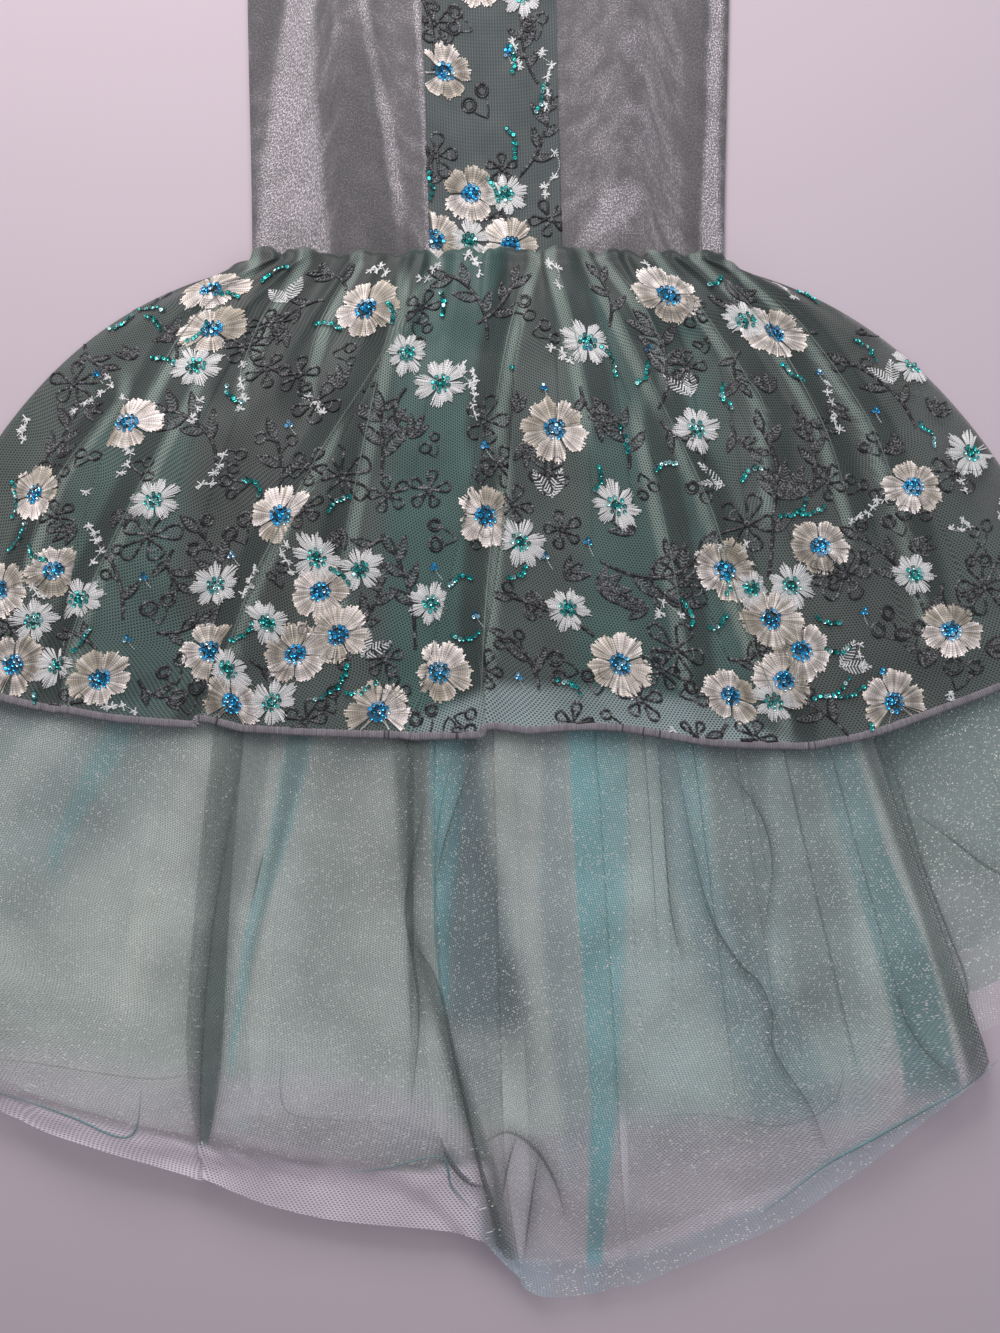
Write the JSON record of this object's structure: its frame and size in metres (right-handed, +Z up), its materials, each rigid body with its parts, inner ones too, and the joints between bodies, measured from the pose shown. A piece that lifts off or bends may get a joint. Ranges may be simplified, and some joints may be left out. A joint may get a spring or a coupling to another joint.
{
  "type": "child's romantic tutu dress laid flat",
  "caption": "Child's romantic tutu laid flat, with a velvet bodice, an embroidered centre front, a gathered embroidered tulle overskirt and calf-length glitter tulle underskirts.",
  "frame": {"origin": "middle of the laid-out dress's footprint, on the surface that it lies on", "axes": "+Z up from that surface, +Y from the hem towards the neck, +X to the right as seen from above"},
  "size_m": [0.802, 0.9568, 0.0412],
  "materials": {
    "velvet": "crushed stretch velvet, silver grey",
    "embroidered_mesh": "grey-green knit mesh with flowers in satin thread",
    "embroidered_tulle": "dark green-grey tulle with satin flowers, cords and sequins",
    "binding": "overlocked edge in mauve-grey thread",
    "outer_tulle": "sage-grey glitter tulle, raw edge",
    "middle_tulle": "turquoise glitter tulle, raw edge",
    "inner_tulle": "slate-blue glitter tulle, raw edge"
  },
  "bodies": {
    "root": {"bodice_front_left": "velvet", "bodice_front_centre": "embroidered_mesh", "bodice_front_right": "velvet", "bodice_back": "velvet", "strap_left": "velvet", "strap_right": "velvet", "overskirt_front": "embroidered_tulle", "overskirt_back": "embroidered_tulle", "overskirt_front_binding": "binding", "overskirt_back_binding": "binding", "underskirt_front_outer": "outer_tulle", "underskirt_front_middle": "middle_tulle", "underskirt_front_inner": "inner_tulle", "underskirt_back_outer": "outer_tulle", "underskirt_back_middle": "middle_tulle", "underskirt_back_inner": "inner_tulle"}
  },
  "joints": []
}
